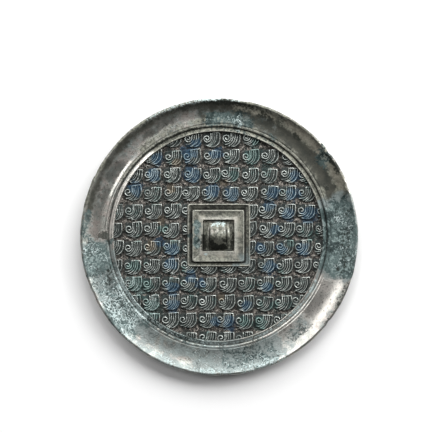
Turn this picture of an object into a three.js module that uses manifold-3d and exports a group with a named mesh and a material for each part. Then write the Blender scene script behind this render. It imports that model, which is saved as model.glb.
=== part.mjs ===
// Bronze mirror with a rolled rim, shown from its cast back.
//
// The whole mirror is one casting: a thin plate whose polished face is flat and
// lies on z = 0, a wide concave rim that rises to a rounded lip, a narrow sloping
// band round a recessed field, rows of low feather curls in that field, and a
// square stepped seat with a small three-ribbed loop for a cord.
// Millimetres, +Z up, origin at the centre of the polished face.
// The loop's arch stands in the YZ plane, and its cord hole runs along X.

import * as THREE from 'three';
import { mergeVertices } from 'three/addons/utils/BufferGeometryUtils.js';
import Module from 'manifold-3d';

// Driving dimensions
const DIAMETER = 120;
const RIM_HEIGHT = 5.2;
const PLATE = 1.5; // thickness of the plate under the field
const AROUND = 84; // facets round the mirror

// Rim: lip outside, then a concave face down to its floor and gently up again
const LIP_CREST = 0.8; // crest of the lip, inside the outer edge
const LIP_ROUND = 0.5;
const RIM_FLOOR = 51.7; // radius where the concave face is lowest
const RIM_FLOOR_Z = 2.75;
const RIM_STEPS = 5;

// Band and field, cast a little to one side of the rim's centre
const RING_CENTRE = { x: -0.5, y: 0.2 };
const RIM_INNER = 48.9;
const RIM_INNER_Z = 3;
const LEDGE = { outer: 48.6, inner: 47.8, z: 2.9 };
const BAND = { outer: 47.3, outerZ: 2.3, inner: 45.45, innerZ: 2.85 };
const FIELD_RADIUS = 45.2;

// Square seat of the loop, from its outer step to its opening
const SEAT_CENTRE = { x: -0.3, y: 0.45 };
const SEAT_HALF = 13.5;
const SEAT_STEP_Z = 2.5;
const GROOVE = { outer: 12.1, inner: 11.2, z: 1.9, lean: 0.1 };
const CREST_Z = 3.15;
const TROUGH = { half: 9.3, z: 2.55 };
const OPENING = { half: 6.8, z: 2.75 };
const SEAT_FLOOR_Z = 1.7;

// Loop: three ribs on one arch
const LOOP_TOP = 6.2;
const LOOP_HALF_LENGTH = 6.4;
const LOOP_HALF_WIDTH = 5.0;
const LOOP_WALL = 1.3; // metal over the cord hole
const HOLE_HALF_LENGTH = 3.7;
const CENTRAL_RIB = 5.8;
const SIDE_RIB = 1.3;
const SIDE_RIB_DROP = 0.35; // side ribs are lower than the central one
const WEB_DROP = 0.75; // the web between the ribs is lower still
const WEB_INSET = 0.1; // how far the web's ends lie inside the side ribs' outer faces
const ARCH_STEPS = 14;

// Feather curls: rows that run along X, read from the top of the field down
const ROWS = 12;
const TOP_ROW_Y = 42.2;
const ROW_PITCH = 7.87;
const COLUMN_START = -3.1; // x of the top row's curl nearest the middle
const COLUMN_DRIFT = -0.22; // change of that x from row to row
const COLUMN_PITCH = 8.45;
const COLUMN_PITCH_DRIFT = -0.04;
const COLUMNS_EACH_WAY = 6;
const CURL = { halfWidth: 3.7, top: 3.3, shoulder: 1.7, bowlTop: -0.3, bottom: -3.35 };
const BOWL_SEGMENTS = 3; // for each half of the bowl
const CURL_HEIGHT = 0.5;
const SPIRAL = { x: -1.75, y: 0.6, radius: 1.1, topRadius: 0.8, height: 0.3, sides: 5 };
const CLIPPED_LEAST = 0.2; // how far inside the field a curl's centre has to be, at least
const UNDER_SEAT = 1.6; // how far under the seat's edge a curl may have its centre

const PAST = 1; // how far a cutting solid runs past what it cuts
const SAME_POINT = 1e-4; // vertices nearer than this are one

const bronze = new THREE.MeshStandardMaterial({
  name: 'bronze',
  color: 0x6f7570,
  roughness: 0.42,
  metalness: 0.85,
});

const wasm = await Module();
wasm.setup();

function toSolid(geometry) {
  const bare = geometry.clone();
  bare.deleteAttribute('normal');
  bare.deleteAttribute('uv');
  const merged = mergeVertices(bare, SAME_POINT);
  return new wasm.Manifold(new wasm.Mesh({
    numProp: 3,
    vertProperties: new Float32Array(merged.attributes.position.array),
    triVerts: new Uint32Array(merged.index.array),
  }));
}

function toGeometry(solid) {
  const mesh = solid.getMesh();
  const geometry = new THREE.BufferGeometry();
  geometry.setAttribute('position', new THREE.BufferAttribute(mesh.vertProperties, 3));
  geometry.setIndex(new THREE.BufferAttribute(mesh.triVerts, 1));
  geometry.computeVertexNormals();
  return geometry;
}

// A solid of revolution about +Z, from (radius, z) points listed outside the metal going up
function turned(points, centre = { x: 0, y: 0 }) {
  const profile = points.map(([radius, z]) => new THREE.Vector2(radius, z));
  const geometry = new THREE.LatheGeometry(profile, AROUND);
  geometry.rotateX(Math.PI / 2);
  geometry.translate(centre.x, centre.y, 0);
  return toSolid(geometry);
}

function prism(shape, fromZ, toZ) {
  const geometry = new THREE.ExtrudeGeometry(shape, {
    depth: toZ - fromZ,
    bevelEnabled: false,
    curveSegments: BOWL_SEGMENTS,
  });
  geometry.translate(0, 0, fromZ);
  return toSolid(geometry);
}

// The rim's concave face: two parabolas that meet at its floor
function rimFace(radius) {
  const crest = DIAMETER / 2 - LIP_CREST;
  const outward = radius > RIM_FLOOR;
  const reach = outward ? crest - RIM_FLOOR : RIM_FLOOR - RIM_INNER;
  const rise = (outward ? RIM_HEIGHT : RIM_INNER_Z) - RIM_FLOOR_Z;
  return RIM_FLOOR_Z + rise * ((radius - RIM_FLOOR) / reach) ** 2;
}

function makePlate() {
  const edge = DIAMETER / 2;
  const crest = edge - LIP_CREST;
  const points = [
    [0, 0],
    [edge - LIP_ROUND, 0],
    [edge, LIP_ROUND],
    [edge, RIM_HEIGHT - LIP_ROUND],
    [edge - LIP_ROUND / 2, RIM_HEIGHT - LIP_ROUND / 6],
    [crest, RIM_HEIGHT],
  ];
  for (let step = 1; step <= RIM_STEPS; step += 1) {
    const radius = crest + ((RIM_FLOOR - crest) * step) / RIM_STEPS;
    points.push([radius, rimFace(radius)]);
  }
  points.push([RIM_INNER, RIM_INNER_Z], [0, RIM_INNER_Z]);
  return turned(points);
}

// What is taken out inside the rim: two small steps, the band's slope and the field
function makeRecess() {
  const clear = RIM_HEIGHT + PAST;
  return turned([
    [0, PLATE],
    [FIELD_RADIUS, PLATE],
    [BAND.inner, BAND.innerZ],
    [BAND.outer, BAND.outerZ],
    [LEDGE.inner, LEDGE.z],
    [LEDGE.outer, LEDGE.z],
    [RIM_INNER, RIM_INNER_Z],
    [RIM_INNER, clear],
    [0, clear],
  ], RING_CENTRE);
}

// A square ring about the seat's centre whose section is (half width, z) points,
// made as a four-sided turned solid
function squareTurned(points) {
  const profile = points.map(([half, z]) => new THREE.Vector2(half * Math.SQRT2, z));
  const geometry = new THREE.LatheGeometry(profile, 4, Math.PI / 4);
  geometry.rotateX(Math.PI / 2);
  geometry.translate(SEAT_CENTRE.x, SEAT_CENTRE.y, 0);
  return toSolid(geometry);
}

function makeSeat() {
  const inPlate = PLATE / 2;
  return squareTurned([
    [0, inPlate],
    [SEAT_HALF, inPlate],
    [SEAT_HALF, SEAT_STEP_Z],
    [GROOVE.outer, SEAT_STEP_Z],
    [GROOVE.outer - GROOVE.lean, GROOVE.z],
    [GROOVE.inner + GROOVE.lean, GROOVE.z],
    [GROOVE.inner, CREST_Z],
    [TROUGH.half, TROUGH.z],
    [OPENING.half, OPENING.z],
    [OPENING.half, SEAT_FLOOR_Z],
    [0, SEAT_FLOOR_Z],
  ]);
}

// Half an ellipse on the seat's floor, extruded along X between two planes
function makeArch(halfLength, height, fromX, toX) {
  const shape = new THREE.Shape();
  const sunk = PLATE / 2;
  shape.moveTo(halfLength, -sunk);
  for (let step = 0; step <= ARCH_STEPS; step += 1) {
    const angle = (Math.PI * step) / ARCH_STEPS;
    shape.lineTo(halfLength * Math.cos(angle), height * Math.sin(angle));
  }
  shape.lineTo(-halfLength, -sunk);
  const geometry = new THREE.ExtrudeGeometry(shape, { depth: toX - fromX, bevelEnabled: false });
  // The shape's x becomes the mirror's Y, its y becomes Z, and the extrusion runs along X
  geometry.applyMatrix4(new THREE.Matrix4().makeBasis(
    new THREE.Vector3(0, 1, 0),
    new THREE.Vector3(0, 0, 1),
    new THREE.Vector3(1, 0, 0),
  ));
  geometry.translate(SEAT_CENTRE.x + fromX, SEAT_CENTRE.y, SEAT_FLOOR_Z);
  return toSolid(geometry);
}

function makeLoop() {
  const height = LOOP_TOP - SEAT_FLOOR_Z;
  const edge = LOOP_HALF_WIDTH;
  const webEdge = edge - WEB_INSET;
  const webbed = makeArch(LOOP_HALF_LENGTH - WEB_DROP / 2, height - WEB_DROP, -webEdge, webEdge);
  const central = makeArch(LOOP_HALF_LENGTH, height, -CENTRAL_RIB / 2, CENTRAL_RIB / 2);
  const sideHeight = height - SIDE_RIB_DROP;
  const sideLength = LOOP_HALF_LENGTH - SIDE_RIB_DROP / 2;
  const left = makeArch(sideLength, sideHeight, -edge, -edge + SIDE_RIB);
  const right = makeArch(sideLength, sideHeight, edge - SIDE_RIB, edge);
  return webbed.add(central).add(left).add(right);
}

// The cord hole, cut down to the seat's floor
function makeCordHole() {
  const holeHeight = LOOP_TOP - LOOP_WALL - SEAT_FLOOR_Z;
  const reach = LOOP_HALF_WIDTH + PAST;
  const hole = makeArch(HOLE_HALF_LENGTH, holeHeight, -reach, reach);
  const aboveFloor = squareTurned([
    [0, SEAT_FLOOR_Z],
    [OPENING.half, SEAT_FLOOR_Z],
    [OPENING.half, LOOP_TOP],
    [0, LOOP_TOP],
  ]);
  return hole.intersect(aboveFloor);
}

// A curl's outline: a cut left shoulder, straight sides and top, and a bowl below
function curlOutline() {
  const { halfWidth, top, shoulder, bowlTop, bottom } = CURL;
  const shape = new THREE.Shape();
  shape.moveTo(shoulder - halfWidth, top);
  shape.lineTo(-halfWidth, top - shoulder);
  shape.lineTo(-halfWidth, bowlTop);
  shape.absellipse(0, bowlTop, halfWidth, bowlTop - bottom, Math.PI, 2 * Math.PI);
  shape.lineTo(halfWidth, top);
  return shape;
}

function makeCurl() {
  const top = PLATE + CURL_HEIGHT;
  const spiral = new THREE.CylinderGeometry(
    SPIRAL.topRadius,
    SPIRAL.radius,
    SPIRAL.height * 2,
    SPIRAL.sides,
  );
  spiral.rotateX(Math.PI / 2);
  spiral.translate(SPIRAL.x, SPIRAL.y, top);
  return prism(curlOutline(), PLATE / 2, top).add(toSolid(spiral));
}

// Centres of every curl that shows in the field, row by row
function curlCentres() {
  const centres = [];
  for (let row = 0; row < ROWS; row += 1) {
    const y = TOP_ROW_Y - ROW_PITCH * row;
    const start = COLUMN_START + COLUMN_DRIFT * row;
    const pitch = COLUMN_PITCH + COLUMN_PITCH_DRIFT * row;
    for (let column = -COLUMNS_EACH_WAY; column <= COLUMNS_EACH_WAY; column += 1) {
      const x = start + pitch * column;
      const fromRing = Math.hypot(x - RING_CENTRE.x, y - RING_CENTRE.y);
      const fromSeat = Math.max(Math.abs(x - SEAT_CENTRE.x), Math.abs(y - SEAT_CENTRE.y));
      if (fromRing < FIELD_RADIUS - CLIPPED_LEAST && fromSeat > SEAT_HALF - UNDER_SEAT) {
        centres.push({ x, y });
      }
    }
  }
  return centres;
}

function makeCurls() {
  const curl = makeCurl();
  const fieldSpace = turned([
    [0, 0],
    [FIELD_RADIUS, 0],
    [FIELD_RADIUS, RIM_HEIGHT],
    [0, RIM_HEIGHT],
  ], RING_CENTRE);
  let curls = null;
  for (const { x, y } of curlCentres()) {
    const placed = curl.translate([x, y, 0]);
    curls = curls ? curls.add(placed) : placed;
  }
  return curls.intersect(fieldSpace);
}

function makeMirror() {
  const solid = makePlate()
    .subtract(makeRecess())
    .add(makeCurls())
    .add(makeSeat())
    .add(makeLoop())
    .subtract(makeCordHole());
  const mesh = new THREE.Mesh(toGeometry(solid), bronze);
  mesh.name = 'mirror';
  return mesh;
}

const part = new THREE.Group();
part.add(makeMirror());

export default part;
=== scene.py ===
# The looks of a bronze mirror that lies on its polished face with the cast back up.
#
# One closed mesh stands for the CAD node `mirror`. Its shape is worked out in millimetres, in
# the CAD model's own frame. The curls' relief is real geometry: vertices follow each raised
# line, and a Delaunay triangulation joins them. Corrosion is painted on the vertices as named
# amounts. So are painted shade in grooves, troughs and shaded sides, and painted highlights on
# crests and edges. The material turns them into colour and gloss.
import math

import bpy
import numpy as np
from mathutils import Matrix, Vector, kdtree, noise
from mathutils.geometry import delaunay_2d_cdt


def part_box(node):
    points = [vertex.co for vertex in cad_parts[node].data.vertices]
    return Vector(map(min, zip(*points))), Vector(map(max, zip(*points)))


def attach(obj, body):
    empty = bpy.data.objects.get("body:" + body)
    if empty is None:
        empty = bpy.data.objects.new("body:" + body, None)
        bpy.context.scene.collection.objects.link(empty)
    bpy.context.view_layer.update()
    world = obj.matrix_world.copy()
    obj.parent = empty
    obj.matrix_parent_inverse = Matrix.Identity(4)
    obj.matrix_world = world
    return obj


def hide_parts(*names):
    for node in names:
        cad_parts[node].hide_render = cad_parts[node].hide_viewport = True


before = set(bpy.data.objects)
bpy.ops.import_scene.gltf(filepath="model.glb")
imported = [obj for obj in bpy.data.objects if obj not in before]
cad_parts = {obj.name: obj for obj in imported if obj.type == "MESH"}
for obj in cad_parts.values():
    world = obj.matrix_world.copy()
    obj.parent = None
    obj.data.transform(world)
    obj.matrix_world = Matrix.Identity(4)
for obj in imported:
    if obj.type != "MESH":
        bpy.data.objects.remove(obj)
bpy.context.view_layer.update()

MM = 0.001
SEED = 7

# --- driving dimensions, in mm
LOW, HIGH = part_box("mirror")
RADIUS = (HIGH.x - LOW.x) / 2 / MM
LOOP_TOP = HIGH.z / MM

AROUND = 480  # points round each row of the rim
RIM_HEIGHT = 5.2
LIP_CREST = RADIUS - 0.9
LIP_INSIDE = LIP_CREST - 0.15  # where the lip's inner side starts
RIM_FLOOR = 51.7  # radius where the concave face is lowest
RIM_FLOOR_Z = 2.75
RIM_INNER = 48.9
RIM_INNER_Z = 2.98
RING_CENTRE = np.array([-0.5, 0.2])  # of band and field, cast a little off the rim's
FIELD_RADIUS = 45.2
FIELD_Z = 1.5

SEAT_CENTRE = np.array([-0.2, 0.6])
SEAT_HALF = 13.6
SEAT_SIDE_POINTS = 48
SEAT_SHARPNESS = 34  # of the corners of its square outlines
SEAT_FLOOR_Z = 1.75

# The rows of feather curls, along X
ROWS = 12
TOP_ROW_Y = 42.2
ROW_PITCH = 7.87
COLUMN_START = -3.1
COLUMN_DRIFT = -0.22  # from each row to the next
COLUMN_PITCH = 8.45
COLUMN_PITCH_DRIFT = -0.04
COLUMNS_EACH_WAY = 6
CURL_TURN = 6  # degrees, at most
CURL_SHIFT = 0.38
CURL_WIDTHS = (1.0, 1.07)  # smallest and largest share of the usual
CURL_HEIGHTS = (0.97, 1.06)

# One curl, about its own centre
CURL_HALF_WIDTH = 3.8
CURL_TOP = 3.0
CURL_BOTTOM = -3.15
CURL_REACH = 2.5  # past the field's edge there are curls up to here
SPIRAL_CENTRE = np.array([-1.95, 0.5])
SPIRAL_RADIUS = 1.65
SPIRAL_CLOSING = 0.76  # share of its radius lost on the way to its eye
SPIRAL_STEPS = 44
BARB_CENTRE = SPIRAL_CENTRE + np.array([-0.9, 0.5])
BARB_SWEEP = -112  # degrees
BARB_STEPS = 30
BARB_POINTS_LEAST = 6
BARB_END = 0.93  # how far out on the pad it stops
OUTLINE_CENTRE = np.array([0.1, 0.35])
OUTLINE_STEPS = 26
HOOK_PLACES = (-2.6, 1.2)
HOOK_CHANCE = 0.6
HOOK_ACROSS, HOOK_DOWN = 0.85, 0.5
HOOK_CLEAR = 0.5  # from the field's edges

# Relief of the field
PAD_HEIGHT = 0.24
PAD_EDGE = (0.93, 1.04)  # where a pad falls away, as shares of its outline
LINE_HEIGHT = 0.5
LINE_HALF_WIDTH = 0.34
LINE_TOP = 0.02  # half width of a line's flat top
GROOVE_DEPTH = 0.12
GROOVE_AT, GROOVE_REACH = 1.09, 0.06  # the groove round a pad, as shares of its outline
AROUND_CURL = 1.4  # reach of its groove and hooks
PAD_ROUGHNESS = 0.05
GROUND_ROUGHNESS = 0.09  # and more between the curls

# Vertices of the field
LINE_STEP = 0.39  # along a raised line
SHOULDER = 0.48  # the rows beside a line's crest, as a share of its half width
NEAREST = 0.13  # no two are closer than this
GROUND_STEP = 0.52
GROUND_JITTER = 0.12
GROUND_CLEAR = 0.55  # share of a step kept from the lines
SEAT_SHARE = 0.985  # of its half width, where the ground ends
WELD = 1e-7


def smooth(value, start, end):
    """0 before start, 1 after end, and an even S between them."""
    t = np.clip((value - start) / (end - start), 0.0, 1.0)
    return t * t * (3 - 2 * t)


def bell(off):
    """1 at 0, falling to nothing on both sides."""
    return np.exp(-(off**2))


def degrees_off(angle, middle):
    """The short way round between two angles."""
    return np.abs((angle - middle + 180) % 360 - 180)


def placed(name, data):
    made = bpy.data.objects.new(name, data)
    bpy.context.scene.collection.objects.link(made)
    return made


def noise_at(points, scale, seed):
    """Perlin noise over X and Y at points in mm, from about -1 to 1."""
    offset = Vector((seed * 17.3, seed * 7.1, seed * 3.7))
    values = [noise.noise(Vector((*p[:2], 0.0)) / scale + offset) for p in points]
    return np.array(values)


def patches(points, mean, swing, scale, seed):
    """A value that wanders about its mean."""
    return mean + swing * noise_at(points, scale, seed)


def uneven(points, scale, height, seed):
    """The same points with z changed a little."""
    points = points.copy()
    points[:, 2] += height * noise_at(points, scale, seed)
    return points


# --- one feather curl
def ellipse_arc(centre, across, down, start, end, steps):
    """Points on an ellipse, from one angle to another in degrees."""
    angle = np.radians(np.linspace(start, end, steps))
    return np.stack([centre[0] + across * np.cos(angle), centre[1] + down * np.sin(angle)], 1)


def spiral_line(rng):
    """From the bar under the curl, up its left side and over into its eye."""
    turns = rng.uniform(1.2, 1.5)
    angle = np.radians(np.linspace(rng.uniform(-5, 15), -360 * turns, SPIRAL_STEPS))
    shrink = np.linspace(0, 1, SPIRAL_STEPS) ** 1.2
    radius = SPIRAL_RADIUS * rng.uniform(0.92, 1.08) * (1 - SPIRAL_CLOSING * shrink)
    coil = SPIRAL_CENTRE + radius[:, None] * np.stack([np.cos(angle), np.sin(angle)], 1)
    start = np.array([[coil[0, 0] + rng.uniform(-0.1, 0.2), CURL_TOP - rng.uniform(0, 0.5)]])
    return np.concatenate([start, coil])


def barb_line(start_x, rng):
    """From the bar down and round to the lower left, up to the pad's edge."""
    centre = BARB_CENTRE + rng.uniform(-0.2, 0.2, 2)
    across = start_x - centre[0]
    down = across * rng.uniform(0.86, 0.98)
    arc = ellipse_arc(centre, across, down, 0, BARB_SWEEP, BARB_STEPS)
    on_pad = int((pad_shape(arc) < BARB_END).sum())
    arc = arc[: max(BARB_POINTS_LEAST, on_pad)]
    start = np.array([[start_x + rng.uniform(-0.12, 0.12), CURL_TOP]])
    return np.concatenate([start, arc])


def outline_arc(rng):
    """The curl's right side and underside."""
    across = CURL_HALF_WIDTH - 0.4
    down = OUTLINE_CENTRE[1] - CURL_BOTTOM
    arc = ellipse_arc(OUTLINE_CENTRE, across, down, 0, -rng.uniform(85, 125), OUTLINE_STEPS)
    start = np.array([[arc[0, 0] + rng.uniform(-0.1, 0.1), CURL_TOP]])
    return np.concatenate([start, arc])


def curl_lines(rng):
    """The raised lines of one curl: points, and shares of the usual height and width."""
    lines = [(spiral_line(rng), 1.12, 1.15)]
    first = SPIRAL_CENTRE[0] + SPIRAL_RADIUS + rng.uniform(0.8, 0.95)
    for start_x in np.arange(first, CURL_HALF_WIDTH - 0.9, rng.uniform(0.76, 0.9)):
        lines.append((barb_line(start_x, rng), rng.uniform(0.72, 1.02), rng.uniform(0.85, 1.0)))
    lines.append((outline_arc(rng), rng.uniform(0.75, 0.95), 0.95))
    bar_start = rng.uniform(first - 1.2, first + 0.4)
    bar_end = lines[-1][0][0, 0]
    bar = np.array([[bar_start, CURL_TOP - rng.uniform(0, 0.2)], [bar_end, CURL_TOP]])
    lines.append((bar, rng.uniform(0.85, 1.1), 1.05))
    return lines


def hook_lines(rng):
    """Up to two small hooks in the ground above a curl."""
    lines = []
    for x in HOOK_PLACES:
        if rng.uniform() < HOOK_CHANCE:
            centre = np.array([x + rng.uniform(-0.9, 0.9), CURL_TOP + rng.uniform(0.75, 1.05)])
            start = rng.uniform(-40, 60)
            end = start + rng.uniform(120, 200)
            arc = ellipse_arc(centre, HOOK_ACROSS, HOOK_DOWN, start, end, 9)
            lines.append((arc, rng.uniform(0.4, 0.7), 0.85))
    return lines


def pad_shape(local):
    """Under 1 inside a pad's outline, which is nearly square at its top and round below."""
    above = local[:, 1] > 0
    across = np.abs(local[:, 0]) / CURL_HALF_WIDTH
    down = np.abs(local[:, 1]) / np.where(above, CURL_TOP + 0.25, -CURL_BOTTOM + 0.1)
    power = np.where(above, 6.0, 2.7)
    return (across**power + down**power) ** (1 / power)


# --- the field of curls
def curl_places():
    """Centre of each curl that can reach into the field, row by row."""
    places = []
    for row in range(ROWS):
        y = TOP_ROW_Y - ROW_PITCH * row
        start = COLUMN_START + COLUMN_DRIFT * row
        pitch = COLUMN_PITCH + COLUMN_PITCH_DRIFT * row
        for column in range(-COLUMNS_EACH_WAY, COLUMNS_EACH_WAY + 1):
            place = np.array([start + pitch * column, y])
            if np.linalg.norm(place - RING_CENTRE) < FIELD_RADIUS + CURL_REACH:
                places.append(place)
    return places


def make_curls():
    """Every curl: its place, size, turn and raised lines."""
    rng = np.random.default_rng(SEED)
    curls = []
    for place in curl_places():
        turn = math.radians(rng.uniform(-CURL_TURN, CURL_TURN))
        size = np.array([rng.uniform(*CURL_WIDTHS), rng.uniform(*CURL_HEIGHTS)])
        centre = place + rng.uniform(-CURL_SHIFT, CURL_SHIFT, 2)
        spin = np.array([[math.cos(turn), math.sin(turn)], [-math.sin(turn), math.cos(turn)]])
        lines = [((points * size) @ spin + centre, h, w) for points, h, w in curl_lines(rng)]
        for points, height, width in hook_lines(rng):
            hook = points @ spin + centre
            if in_field(hook, HOOK_CLEAR).all():
                lines.append((hook, height, width))
        curls.append({"centre": centre, "size": size, "spin": spin, "lines": lines})
    return curls


def distance_to_line(points, line):
    """From each point to the nearest stretch of a line."""
    best = np.full(len(points), np.inf)
    for a, b in zip(line[:-1], line[1:]):
        along = b - a
        t = np.clip(((points - a) @ along) / max(along @ along, 1e-12), 0, 1)
        gap = points - a - t[:, None] * along
        best = np.minimum(best, np.einsum("ij,ij->i", gap, gap))
    return np.sqrt(best)


def evenly(line, step):
    """The line's points, respaced evenly, and its unit normals there."""
    lengths = np.linalg.norm(np.diff(line, axis=0), axis=1)
    total = np.concatenate([[0], np.cumsum(lengths)])
    at = np.linspace(0, total[-1], max(2, int(round(total[-1] / step)) + 1))
    points = np.stack([np.interp(at, total, line[:, k]) for k in (0, 1)], 1)
    along = np.gradient(points, axis=0)
    along /= np.maximum(np.linalg.norm(along, axis=1, keepdims=True), 1e-9)
    return points, np.stack([-along[:, 1], along[:, 0]], 1)


def in_field(points, margin):
    """True where a point is in the field and outside the seat, by a margin."""
    from_ring = np.linalg.norm(points - RING_CENTRE, axis=1)
    from_seat = np.abs(points - SEAT_CENTRE).max(1)
    return (from_ring < FIELD_RADIUS - margin) & (from_seat > SEAT_HALF + margin)


def square_grid(start, end, step):
    span = np.arange(start, end, step)
    return np.stack(np.meshgrid(span, span), -1).reshape(-1, 2)


def flat_tree(points):
    tree = kdtree.KDTree(len(points))
    for index, (x, y) in enumerate(points):
        tree.insert((x, y, 0), index)
    tree.balance()
    return tree


def thinned(groups):
    """Points of all groups in turn, but none too near an earlier one."""
    points = np.concatenate(groups)
    tree = flat_tree(points)
    keep = np.ones(len(points), bool)
    for index, (x, y) in enumerate(points):
        if keep[index]:
            for _, other, _ in tree.find_range((x, y, 0), NEAREST):
                if other > index:
                    keep[other] = False
    return points[keep]


def field_points(curls):
    """Vertices along every raised line, and a loose grid between the lines."""
    crests, shoulders, feet = [], [], []
    for curl in curls:
        for line, _, width in curl["lines"]:
            points, normals = evenly(line, LINE_STEP)
            half = LINE_HALF_WIDTH * width
            crests.append(points)
            shoulders += [points + normals * side * half * SHOULDER for side in (-1, 1)]
            feet += [points + normals * side * half for side in (-1, 1)]
    grid = square_grid(-FIELD_RADIUS - 1, FIELD_RADIUS + 2, GROUND_STEP)
    grid += np.random.default_rng(SEED).uniform(-GROUND_JITTER, GROUND_JITTER, grid.shape)
    groups = [np.concatenate(group) for group in (crests, shoulders, feet)]
    lined = thinned([group[in_field(group, 0.2)] for group in groups])
    grid = grid[in_field(grid, 0.3)]
    tree = flat_tree(lined)
    clear = [tree.find((x, y, 0))[2] > GROUND_STEP * GROUND_CLEAR for x, y in grid]
    return np.concatenate([lined, grid[np.array(clear)]])


def field_relief(points, curls):
    """How much each point is raised line, pad, and groove round a pad."""
    line = np.zeros(len(points))
    pad = np.zeros(len(points))
    groove = np.zeros(len(points))
    worn = patches(points, mean=0.87, swing=0.44, scale=1.4, seed=5)
    worn += 0.14 * noise_at(points, scale=6, seed=6)
    for curl in curls:
        local = ((points - curl["centre"]) @ curl["spin"].T) / curl["size"]
        near = (np.abs(local) < CURL_HALF_WIDTH + AROUND_CURL).all(1)
        if not near.any():
            continue
        out = pad_shape(local[near])
        pad[near] = np.maximum(pad[near], 1 - smooth(out, *PAD_EDGE))
        # The groove round each pad is sunk, and the material darkens it as painted shade.
        groove[near] = np.maximum(groove[near], bell((out - GROOVE_AT) / GROOVE_REACH))
        for points_on_line, height, width in curl["lines"]:
            gap = distance_to_line(points[near], points_on_line)
            ridge = (1 - smooth(gap, LINE_TOP, LINE_HALF_WIDTH * width)) * worn[near]
            line[near] = np.maximum(line[near], ridge * height)
    groove *= 1 - np.clip(pad + line, 0, 1)
    return line, pad, groove


# --- the closed surface
class Shell:
    """Points, marks and faces of one closed surface, gathered part by part."""

    def __init__(self):
        self.points, self.marks, self.faces, self.count = [], [], [], 0

    def add(self, points, zone, line=0.0, pad=0.0, groove=0.0):
        """Adds (n, 3) points and returns their indices."""
        size = len(points)
        mark = np.zeros((size, 4))
        mark[:, 0], mark[:, 1], mark[:, 2], mark[:, 3] = zone, line, pad, groove
        self.points.append(np.asarray(points, float))
        self.marks.append(mark)
        self.count += size
        return np.arange(self.count - size, self.count)

    def stitch(self, outer, inner):
        """Faces that look up between two closed rows of as many points."""
        for i in range(len(outer)):
            j = (i + 1) % len(outer)
            self.faces.append((outer[i], outer[j], inner[j], inner[i]))

    def result(self):
        return np.concatenate(self.points), np.concatenate(self.marks), self.faces


RIM, BAND, FIELD, SEAT, LOOP = range(5)  # the zones


def round_row(radius, z, centre):
    angle = np.linspace(0, 2 * math.pi, AROUND, endpoint=False)
    z = np.broadcast_to(z, angle.shape)
    return np.stack([centre[0] + radius * np.cos(angle), centre[1] + radius * np.sin(angle), z], 1)


def square_row(half, z, centre):
    """Points round a square with slightly rounded corners."""
    t = np.linspace(-1, 1, SEAT_SIDE_POINTS, endpoint=False)
    pull = (1 + np.abs(t) ** SEAT_SHARPNESS) ** (-1 / SEAT_SHARPNESS)
    side = np.stack([pull, t * pull], 1)
    quarter = np.array([[0, 1], [-1, 0]])
    sides = [side]
    for _ in range(3):
        sides.append(sides[-1] @ quarter)
    flat = np.concatenate(sides) * half + centre
    return np.column_stack([flat, np.broadcast_to(z, len(flat))])


def rim_face(radius):
    """Height of the concave face."""
    if radius > RIM_FLOOR:
        share = (radius - RIM_FLOOR) / (LIP_INSIDE - RIM_FLOOR)
        return RIM_FLOOR_Z + (RIM_HEIGHT - 0.06 - RIM_FLOOR_Z) * share**2
    share = (RIM_FLOOR - radius) / (RIM_FLOOR - RIM_INNER)
    return RIM_FLOOR_Z + (RIM_INNER_Z - RIM_FLOOR_Z) * share**1.6


# Where the edge has lost metal: angle and reach to each side in degrees, and depth
EDGE_LOSSES = [(72, 32, 0.3), (80, 2.5, 0.25), (92, 2, 0.3), (21, 2.2, 0.6), (38, 1.8, 0.5),
               (153, 1.5, 0.3), (205, 3, 0.25), (286, 2, 0.3), (322, 1.6, 0.35)]
EDGE_WORN = (RADIUS - 3.5, RADIUS - 0.4)  # radii where it sets in


def edge_loss(radius):
    """How far each point of a row is pulled in by wear and nicks."""
    angle = np.linspace(0, 360, AROUND, endpoint=False)
    circle = np.stack([np.cos(np.radians(angle)), np.sin(np.radians(angle))], 1) * RADIUS
    loss = patches(circle, mean=0.12, swing=0.16, scale=6, seed=31)
    loss += 0.08 * noise_at(circle, scale=1.8, seed=32)
    for middle, reach, depth in EDGE_LOSSES:
        loss += depth * (1 - smooth(degrees_off(angle, middle) / reach, 0.3, 1.0))
    return np.maximum(loss, 0) * smooth(radius, *EDGE_WORN)


# A worn hollow near the rim's inner edge
HOLLOW_ANGLE, HOLLOW_REACH = 147, 15  # degrees
HOLLOW_RADIUS, HOLLOW_HALF_WIDTH = 50.4, 1.1
HOLLOW_DEPTH = 0.19


def hollow_depth(points, radius):
    """How deep the worn hollow is at each point of a row."""
    angle = np.degrees(np.arctan2(points[:, 1], points[:, 0]))
    along = 1 - smooth(degrees_off(angle, HOLLOW_ANGLE) / HOLLOW_REACH, 0.6, 1.0)
    across = bell((radius - HOLLOW_RADIUS) / HOLLOW_HALF_WIDTH)
    ragged = np.clip(patches(points, mean=1, swing=0.9, scale=1.8, seed=33), 0, 2)
    return HOLLOW_DEPTH * ragged * along * across


def rim_rows():
    """(radius, z) from the underside round the edge and in over the rim."""
    rows = [(20, 0), (42, 0), (55, 0), (RADIUS - 0.75, 0), (RADIUS - 0.4, 0.05)]
    rows += [(RADIUS - 0.12, 0.22), (RADIUS, 0.55), (RADIUS, 1.8), (RADIUS, 3.1), (RADIUS, 4.2)]
    rows += [(RADIUS - 0.05, 4.62), (RADIUS - 0.2, 4.9), (RADIUS - 0.42, 5.08)]
    rows += [(LIP_CREST + 0.2, 5.17), (LIP_CREST, RIM_HEIGHT), (LIP_INSIDE, RIM_HEIGHT - 0.04)]
    outer = np.linspace(LIP_CREST - 0.4, RIM_FLOOR, 15)
    inner = np.linspace(RIM_FLOOR, RIM_INNER, 9)[1:]
    return rows + [(radius, rim_face(radius)) for radius in np.concatenate([outer, inner])]
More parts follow.
